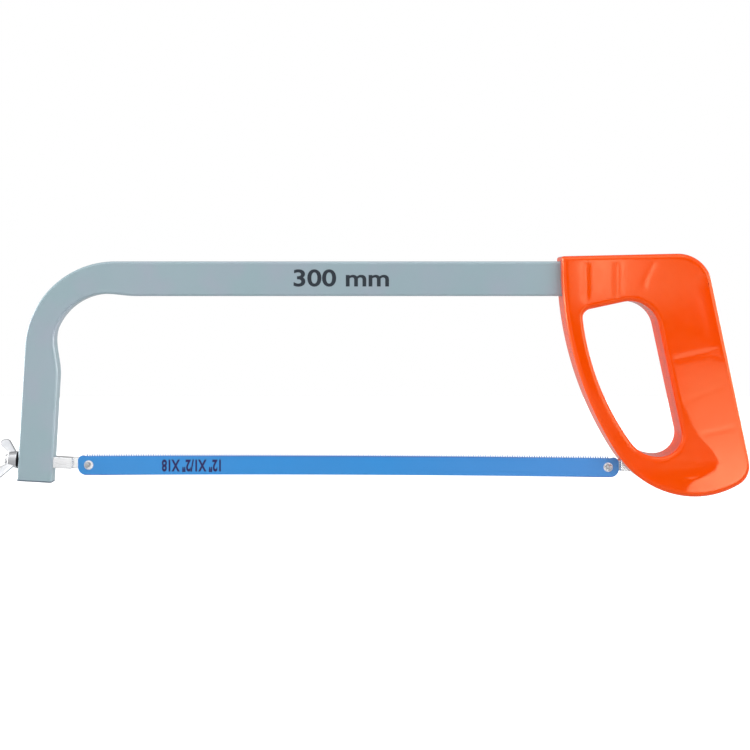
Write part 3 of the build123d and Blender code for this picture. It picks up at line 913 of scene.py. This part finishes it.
def half_shell(name, side, node, bores_outside, bores_inside):
    """Hollow half of the handle; side is -1 for the marked half and 1 for the screw half.

    Each screw's bores lead in from the face, if it has any there, and from the ceiling round its boss."""
    body = handle_outline()
    opening = opening_outline()
    points = []
    faces = []

    def ring(loop, depth):
        """Add one closed ring at a distance from the middle plane and return its first number."""
        first = len(points)
        depths = depth if np.ndim(depth) else [depth] * len(loop)
        points.extend((p[0], side * d, p[1]) for p, d in zip(loop, depths))
        return first

    def wall(loops, count):
        """Add rings of equal length and join them."""
        firsts = [ring(*entry) for entry in loops]
        for first, second in zip(firsts, firsts[1:]):
            faces.extend(ring_faces(first, second, count))

    def sheet(outer, holes, spacing, depth_of):
        """Add a triangulated sheet whose distance from the middle plane is a function."""
        found, triangles = fill_between(outer, holes, spacing)
        first = len(points)
        points.extend((x, side * depth_of(x, z), z) for x, z in found)
        faces.extend(tuple(first + v for v in t) for t in triangles)

    straight_top = HANDLE_HALF - HANDLE_EDGE
    rims = []
    for outline, sign in ((body, 1), (opening, -1)):
        count = len(outline.points)
        loops = [(outline.inset(sign * HANDLE_WALL), CEILING), (outline.inset(sign * HANDLE_WALL), 0.0)]
        for angle in quarter_turn(SEAM_STEPS):
            drawn = SEAM_ROUND * (1 - math.sin(angle))
            loops.append((outline.inset(sign * drawn), SEAM_ROUND * (1 - math.cos(angle))))
        for angle in quarter_turn(EDGE_STEPS):
            loop = outline.inset(sign * HANDLE_EDGE * (1 - math.cos(angle)))
            sunk = np.array([face_sink(x, z) for x, z in loop]) * math.sin(angle)
            loops.append((loop, straight_top + HANDLE_EDGE * math.sin(angle) - sunk))
        wall(loops, count)
        rims.append(loops[-1][0])
    face_holes = [circle(s, bores_outside[0][0]) for s in SCREWS] if bores_outside else []
    ceiling_holes = [circle(s, bores_inside[0][0]) for s in SCREWS]
    sheet(rims[0], [rims[1], *face_holes], FACE_GRID, lambda x, z: HANDLE_HALF - face_sink(x, z))
    inner = [body.inset(HANDLE_WALL), opening.inset(-HANDLE_WALL)]
    sheet(inner[0], [inner[1], *ceiling_holes], CEILING_GRID, lambda x, z: CEILING)
    for screw in SCREWS:
        chain = []
        for radius, depth in bores_outside:
            loop = circle(screw, radius)
            face = [HANDLE_HALF - face_sink(x, z) for x, z in loop]
            chain.append((loop, face if depth is None else depth))
        for radius, depth in reversed(bores_inside):
            chain.append((circle(screw, radius), depth))
        wall(chain, len(chain[0][0]))
        if not bores_outside:
            first = ring(*chain[0])
            faces.append(tuple(range(first, first + len(chain[0][0]))))
    made = piece(name, points, faces, "handle_plastic", "frame", node)
    cut(made, box_mesh("entries", (TUBE_ENTRY, HOLDER_ENTRY)))
    flatten(made)


def make_handle():
    """Both shells: blind screw bosses on the marked side, counterbored ones on the other."""
    half_shell("handle_front", -1, "handle_shell_front", [], BLIND_BOSS)
    half_shell("handle_rear", 1, "handle_shell_rear", COUNTERBORE, OPEN_BOSS)


# ---- frame tube

def blend_curve(start, leaving, end, arriving, count):
    """Cubic between two points with given directions at its ends."""
    chord = (end - start).length
    points = []
    for i in range(count):
        t = i / count
        points.append(
            start * (2 * t**3 - 3 * t**2 + 1)
            + leaving * (chord * (t**3 - 2 * t**2 + t))
            + end * (3 * t**2 - 2 * t**3)
            + arriving * (chord * (t**3 - t**2))
        )
    return points


def inner_bend():
    """Inside line of the bend, crushed deepest near the leg."""
    centre = BEND_CENTRE + Vector((CRUSH_SHIFT[0], 0, CRUSH_SHIFT[1]))
    first = math.radians(90 + TOP_BLEND_ANGLE)
    last = math.pi - LEG_LEAN - math.radians(LEG_BLEND_ANGLE)
    arc = []
    directions = []
    for i in range(BEND_STATIONS + 1):
        angle = first + (last - first) * i / BEND_STATIONS
        arc.append(centre + CRUSH_RADIUS * Vector((math.cos(angle), 0, math.sin(angle))))
        directions.append(Vector((-math.sin(angle), 0, math.cos(angle))))
    start = Vector((BEND_X + TOP_BLEND, 0, TUBE_TOP - TUBE_HEIGHT))
    end = BEND_CENTRE + LEG_OUT * (BEND_OUTER - TUBE_HEIGHT) + LEG_DOWN * LEG_BLEND
    onto_arc = blend_curve(start, Vector((-1, 0, 0)), arc[0], directions[0], TOP_BLEND_STATIONS)
    off_arc = blend_curve(arc[-1], directions[-1], end, LEG_DOWN, LEG_BLEND_STATIONS)
    return [*onto_arc, *arc[:-1], *off_arc, end]


def tube_stations():
    """Cross-sections along the tube, each as its outer and its inner point on the middle plane."""
    up = Vector((0, 0, 1))
    stations = []
    reach = TUBE_END - BEND_X - TOP_BLEND
    for i in range(TOP_STATIONS):
        outer = Vector((TUBE_END - reach * i / TOP_STATIONS, 0, TUBE_TOP))
        stations.append((outer, outer - up * TUBE_HEIGHT))
    leg_top = BEND_CENTRE + LEG_OUT * BEND_OUTER
    for inner in inner_bend():
        from_centre = inner - BEND_CENTRE
        down = from_centre.dot(LEG_DOWN)
        if inner.x > BEND_X:
            outer = Vector((inner.x, 0, TUBE_TOP))
        elif down > 0:
            outer = leg_top + LEG_DOWN * down
        else:
            outer = BEND_CENTRE + from_centre.normalized() * BEND_OUTER
        stations.append((outer, inner))
    for i in range(1, LEG_STATIONS + 1):
        outer = leg_top + LEG_DOWN * (LEG_BLEND + (LEG_LENGTH - LEG_BLEND) * i / LEG_STATIONS)
        stations.append((outer, outer - LEG_OUT * TUBE_HEIGHT))
    return stations


def tube_section(station, inset, corner, steps=7):
    """Rounded rectangle across the tube at one station."""
    outer, inner = station
    outward = (outer - inner).normalized()
    high = outer - outward * (inset + corner)
    low = inner + outward * (inset + corner)
    half = TUBE_DEPTH / 2 - inset - corner
    loop = []
    for quarter, (middle, side) in enumerate(((high, half), (high, -half), (low, -half), (low, half))):
        for k in range(steps + 1):
            angle = math.pi / 2 * (quarter + k / steps)
            sideways = Vector((0, side + corner * math.cos(angle), 0))
            loop.append(middle + outward * (corner * math.sin(angle)) + sideways)
    return loop


def loft(rings, closed):
    """Points and faces of a skin over rings of equal length; closed joins the last ring to the first."""
    count = len(rings[0])
    points = [point for ring in rings for point in ring]
    faces = []
    for i in range(len(rings) - (0 if closed else 1)):
        faces += ring_faces(i * count, (i + 1) % len(rings) * count, count)
    return points, faces


def make_tube():
    """Hollow bent tube with the bolt's square hole through its leg."""
    stations = tube_stations()
    outside = [tube_section(station, 0.0, TUBE_CORNER) for station in stations]
    bore = [tube_section(station, TUBE_WALL, TUBE_CORNER - TUBE_WALL) for station in stations]
    points, faces = loft(outside + bore[::-1], True)
    tube = piece("tube", points, faces, "tube_paint", "frame", "frame_tube")
    hole = SHANK / 2 + SHANK_CLEARANCE
    square = [((-1.0, -hole, -hole), (TUBE_HEIGHT + 1.0, hole, hole))]
    cut(tube, box_mesh("bolt_hole", square, BOLT_PLACE))
    for x, z in RIVETS:
        drill(tube, (x, 0, z), RIVET_RADIUS, TUBE_DEPTH / 2 + DRILL_PAST_FACE)
    flatten(tube)


# ---- tension bolt, its pins and the washer

def square_bar(name, node, stations, body, placing):
    """Square shank along local x that ends in a tongue of half its thickness, with eased edges.

    The stations are the shank's start, its shoulder and the tongue's end."""
    start, shoulder, end = stations
    half = SHANK / 2
    outline = [(start, -half), (shoulder, -half), (shoulder, 0), (end, 0), (end, half), (start, half)]
    count = len(outline)
    points = [(x, y, -half) for x, y in outline] + [(x, y, half) for x, y in outline]
    faces = ring_faces(0, count, count) + [tuple(range(count)), tuple(range(count, 2 * count))]
    made = piece(name, points, faces, "zinc_steel", body, node)
    made.data.transform(placing)
    easing = made.modifiers.new("edge", "BEVEL")
    easing.width = SHANK_CHAMFER * MM
    easing.segments = 3
    easing.limit_method = "ANGLE"
    bake(made)
    return made


def thread_points():
    """M6 thread on the bolt's local x axis: a grid of rings whose radius follows the helix."""
    around = THREAD_AROUND
    along = 10 * int((SHANK_START - THREAD_END) / THREAD_PITCH)
    inner_end = SHANK_START + THREAD_INTO_SHANK
    rings = [[Vector((THREAD_END, 0, 0))] * around]
    for i in range(along + 1):
        x = THREAD_END + (inner_end - THREAD_END) * i / along
        lead = min(1.0, (x - THREAD_END + 0.15) / THREAD_CHAMFER_LENGTH)
        ring = []
        for k in range(around):
            angle = 2 * math.pi * k / around
            phase = (x / THREAD_PITCH - k / around) % 1
            # a narrow flat crest and a slightly wider flat root
            flank = min(1.0, max(0.0, abs(2 * phase - 1) * 1.25 - 0.1))
            radius = THREAD_RADIUS - max(THREAD_DEPTH * flank, THREAD_CHAMFER * (1 - lead))
            ring.append(Vector((x, radius * math.cos(angle), radius * math.sin(angle))))
        rings.append(ring)
    rings.append([Vector((inner_end, 0, 0))] * around)
    return loft(rings, False)


def make_bolt():
    """Threaded end, square shank and the half-thick tongue that carries the front pin."""
    end = PIN_AT + TONGUE_PAST_PIN
    bolt = square_bar("bolt", "tension_bolt", (SHANK_START, SHOULDER, end), "tension_bolt", BOLT_PLACE)
    points, faces = thread_points()
    thread = piece("bolt_thread", points, faces, "zinc_steel", "tension_bolt", sharp=60.0)
    thread.data.transform(BOLT_PLACE)
    drill(bolt, FRONT_PIN, PIN_RADIUS, PIN_DRILL_HALF)
    flatten(bolt)


def make_rear_holder():
    """Square shank out of the guard, milled to half thickness like the bolt."""
    end = REAR_PIN.x - TONGUE_PAST_PIN
    place = Matrix.Translation((0, 0, REAR_AXIS_Z * MM))
    stations = (REAR_SHANK_END, REAR_SHOULDER, end)
    holder = square_bar("rear_holder", "rear_blade_holder", stations, "frame", place)
    for centre in (REAR_PIN, CROSS_PIN):
        drill(holder, centre, PIN_RADIUS, PIN_DRILL_HALF)
    flatten(holder)


def make_pins():
    """Blade pins with a domed end towards the marked side."""
    profile = rounded_end(PIN_RADIUS, -SHANK / 2, PIN_REACH, PIN_EDGE)
    for name, node, centre, body in (
        ("front_pin", "front_blade_pin", FRONT_PIN, "tension_bolt"),
        ("rear_pin", "rear_blade_pin", REAR_PIN, "frame"),
    ):
        points, faces = turned(profile, centre, (0, -1, 0))
        piece(name, points, faces, "plain_steel", body, node)


def make_washer():
    """Washer with a rounded outer rim; its near-black colour is painted shade for the dark gap between the
    wing nut and the leg.
    """
    outer = WASHER_RADIUS - WASHER_EDGE
    profile = [(WASHER_HOLE, 0), (WASHER_RADIUS, 0)]
    for angle in quarter_turn(5):
        high = WASHER_THICKNESS - WASHER_EDGE + WASHER_EDGE * math.sin(angle)
        profile.append((outer + WASHER_EDGE * math.cos(angle), high))
    profile.append((WASHER_HOLE, WASHER_THICKNESS))
    points, faces = turned(profile, BOLT_ORIGIN, LEG_OUT, 72)
    piece("washer", points, faces, "black_oxide", "frame", "tension_washer")


# ---- wing nut

def nut_solids():
    """Hub and two wings as overlapping convex shells, along the nut's own axis z."""
    work = bmesh.new()
    shells = [[(x, y, z) for radius, z in NUT_HUB for x, y in circle((0, 0), radius - CAST_INSET, 48)]]
    for side in (1, -1):
        wing = []
        for distance, height, radius in WING_CIRCLES:
            for inset, share in WING_RIM:
                half = share * WING_THICKNESS / 2
                rim = circle((distance, height), radius - CAST_INSET - inset, 32)
                wing += [(side * x, y, z) for x, z in rim for y in (-half, half)]
        shells.append(wing)
    for shell in shells:
        points = [work.verts.new([float(c) * MM for c in point]) for point in shell]
        hull = bmesh.ops.convex_hull(work, input=points)
        unused = [v for v in hull["geom_interior"] + hull["geom_unused"] if isinstance(v, bmesh.types.BMVert)]
        bmesh.ops.delete(work, geom=list(set(unused)), context="VERTS")
    mesh = bpy.data.meshes.new("nut")
    work.to_mesh(mesh)
    work.free()
    return mesh


def make_wing_nut():
    """Die-cast nut: hub and wings melted together, with a clean bore."""
    mesh = nut_solids()
    mesh.materials.append(MATERIALS["zinc_cast"])
    wing = -LEG_DOWN * math.cos(NUT_TURNED) + Vector(ACROSS) * math.sin(NUT_TURNED)
    frame_of_nut = Matrix((wing, LEG_OUT.cross(wing), LEG_OUT)).transposed()
    origin = BOLT_ORIGIN + LEG_OUT * NUT_BASE
    nut = linked("nut", mesh)
    melt = nut.modifiers.new("melt", "REMESH")
    melt.mode = "VOXEL"
    melt.voxel_size = CAST_VOXEL * MM
    soften = nut.modifiers.new("soften", "CORRECTIVE_SMOOTH")
    soften.iterations = 6
    soften.use_only_smooth = True
    bake(nut)
    nut.data.transform(Matrix.Translation(origin * MM) @ frame_of_nut.to_4x4())
    wide = NUT_BORE + BORE_CHAMFER
    bore = [(0, -1), (wide, -1), (wide, 0.02), (NUT_BORE, BORE_CHAMFER), (NUT_BORE, 8), (0, 8)]
    cut(nut, turned_cutter("nut_bore", bore, origin, LEG_OUT), 50.0)
    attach(nut, "wing_nut")
    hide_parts("wing_nut")


# ---- blade and its print

def rounded_corner(x, z, radius, first):
    """Points round a corner of the blade at (x, z), counterclockwise from an angle in degrees."""
    centre = (x - math.copysign(radius, x), z - math.copysign(radius, z))
    angles = [math.radians(first + 90 * k / CORNER_STEPS) for k in range(CORNER_STEPS + 1)]
    return [(centre[0] + radius * math.cos(a), centre[1] + radius * math.sin(a)) for a in angles]


def blade_outline():
    """Blade's side outline with rounded ends and teeth that point to the front."""
    right = BLADE_SPACING + BLADE_END
    points = [
        *rounded_corner(-BLADE_END, -BLADE_BELOW, BACK_ROUND, 180),
        *rounded_corner(right, -BLADE_BELOW, BACK_ROUND, 270),
        *rounded_corner(right, BLADE_LAND, LAND_ROUND, 0),
    ]
    start = (BLADE_SPACING - TOOTH_COUNT * TOOTH_PITCH) / 2
    teeth = []
    for tooth in range(TOOTH_COUNT):
        x = start + tooth * TOOTH_PITCH
        teeth += [(x + across, BLADE_TIP - TOOTH_DEPTH * down) for across, down in TOOTH_SHAPE]
    teeth.append((start + TOOTH_COUNT * TOOTH_PITCH, BLADE_TIP - TOOTH_DEPTH))
    points += [point for point in reversed(teeth) if -TOOTHED_PAST < point[0] < BLADE_SPACING + TOOTHED_PAST]
    return np.array([*points, *rounded_corner(-BLADE_END, BLADE_LAND, LAND_ROUND, 90)])


def make_blade():
    """Thin blade, bowed a little upwards, with set teeth and a hole at each end."""
    outer = blade_outline()
    holes = [circle((x, 0), HOLE_RADIUS) for x in (0, BLADE_SPACING)]
    found, triangles = fill_between(outer, holes, BLADE_GRID)
    count = len(found)
    points = []
    for y in (-BLADE_FACE, -BLADE_BACK):
        for x, z in found:
            lean = max(0.0, (z - BLADE_TIP + TOOTH_DEPTH) / TOOTH_DEPTH)
            wave = math.sin(2 * math.pi * x / (SET_WAVE * TOOTH_PITCH))
            bow = BLADE_BOW * max(0.0, 1 - (2 * x / BLADE_SPACING - 1) ** 2)
            points.append((x, y + TOOTH_SET * wave * lean, z + bow))
    faces = [*triangles, *(tuple(v + count for v in reversed(t)) for t in triangles)]
    first = 0
    for loop in (outer, *holes):
        for i in range(len(loop)):
            a, b = first + i, first + (i + 1) % len(loop)
            faces.append((a, b, b + count, a + count))
        first += len(loop)
    blade = piece("blade_steel", points, faces, "blade_paint", "blade", "blade")
    blade.data.transform(BLADE_PLACE)


def mark(name, text, size, placing, ink, body, weight):
    """Printed mark: raised by a hair, and stretched to its real width and height in millimetres."""
    data = bpy.data.curves.new(name, "FONT")
    data.body = text
    data.extrude = 0.5
    data.offset = weight
    data.resolution_u = 6
    source = linked(name + "_source", data)
    depsgraph = bpy.context.evaluated_depsgraph_get()
    mesh = bpy.data.meshes.new_from_object(source.evaluated_get(depsgraph))
    bpy.data.objects.remove(source)
    work = bmesh.new()
    work.from_mesh(mesh)
    bmesh.ops.remove_doubles(work, verts=work.verts, dist=1e-5)
    low = [min(v.co[i] for v in work.verts) for i in range(3)]
    high = [max(v.co[i] for v in work.verts) for i in range(3)]
    for v in work.verts:
        share = [(v.co[i] - low[i]) / (high[i] - low[i]) - 0.5 for i in range(3)]
        v.co = [s * length * MM for s, length in zip(share, (*size, INK_THICKNESS))]
    bmesh.ops.recalc_face_normals(work, faces=work.faces)
    work.to_mesh(mesh)
    work.free()
    mesh.transform(placing)
    mesh.materials.clear()
    mesh.materials.append(MATERIALS[ink])
    made = linked(name, mesh)
    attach(made, body)


def make_marks():
    """Plain size marks: the frame's blade length, and the blade's own size, upside down."""
    upright = Matrix.Rotation(math.pi / 2, 4, "X")
    upside_down = Matrix.Rotation(math.pi, 4, "Y") @ upright
    tube_at = Vector((TUBE_MARK[0], -TUBE_DEPTH / 2 - INK_LIFT, TUBE_MARK[1]))
    place = Matrix.Translation(tube_at * MM) @ upright
    mark("tube_mark", "300 mm", TUBE_MARK_SIZE, place, "tube_ink", "frame", 0.02)
    blade_at = Vector((BLADE_MARK[0], -BLADE_FACE - INK_LIFT, BLADE_MARK[1]))
    place = Matrix.Translation(blade_at * MM) @ upside_down
    mark("blade_mark", '12" X1/2" X18', BLADE_MARK_SIZE, place, "blade_ink", "blade", 0.035)


def make_floor():
    """Plain pale floor well below the saw."""
    z = CAD_BOUNDS[0].z - FLOOR_DROP
    corners = [
        (-FLOOR_HALF_WIDTH, FLOOR_FRONT, z),
        (FLOOR_HALF_WIDTH, FLOOR_FRONT, z),
        (FLOOR_HALF_WIDTH, FLOOR_BACK, z),
        (-FLOOR_HALF_WIDTH, FLOOR_BACK, z),
    ]
    mesh = bpy.data.meshes.new("floor")
    mesh.from_pydata(corners, [], [(0, 1, 2, 3)])
    tree, shader = new_material("floor")
    shader.inputs["Base Color"].default_value = (FLOOR_GREY, FLOOR_GREY, FLOOR_GREY, 1)
    shader.inputs["Roughness"].default_value = 0.9
    shader.inputs["Emission Color"].default_value = (1, 1, 1, 1)
    path = tree.nodes.new("ShaderNodeLightPath")
    tree.links.new(path.outputs["Is Camera Ray"], shader.inputs["Emission Strength"])
    mesh.materials.append(MATERIALS["floor"])
    linked("floor", mesh)


make_camera()
make_world()
make_lights()
make_floor()
paint_nodes()
make_handle()
make_tube()
make_bolt()
make_rear_holder()
make_pins()
make_washer()
make_wing_nut()
make_blade()
make_marks()
bpy.context.scene.view_settings.view_transform = "Standard"
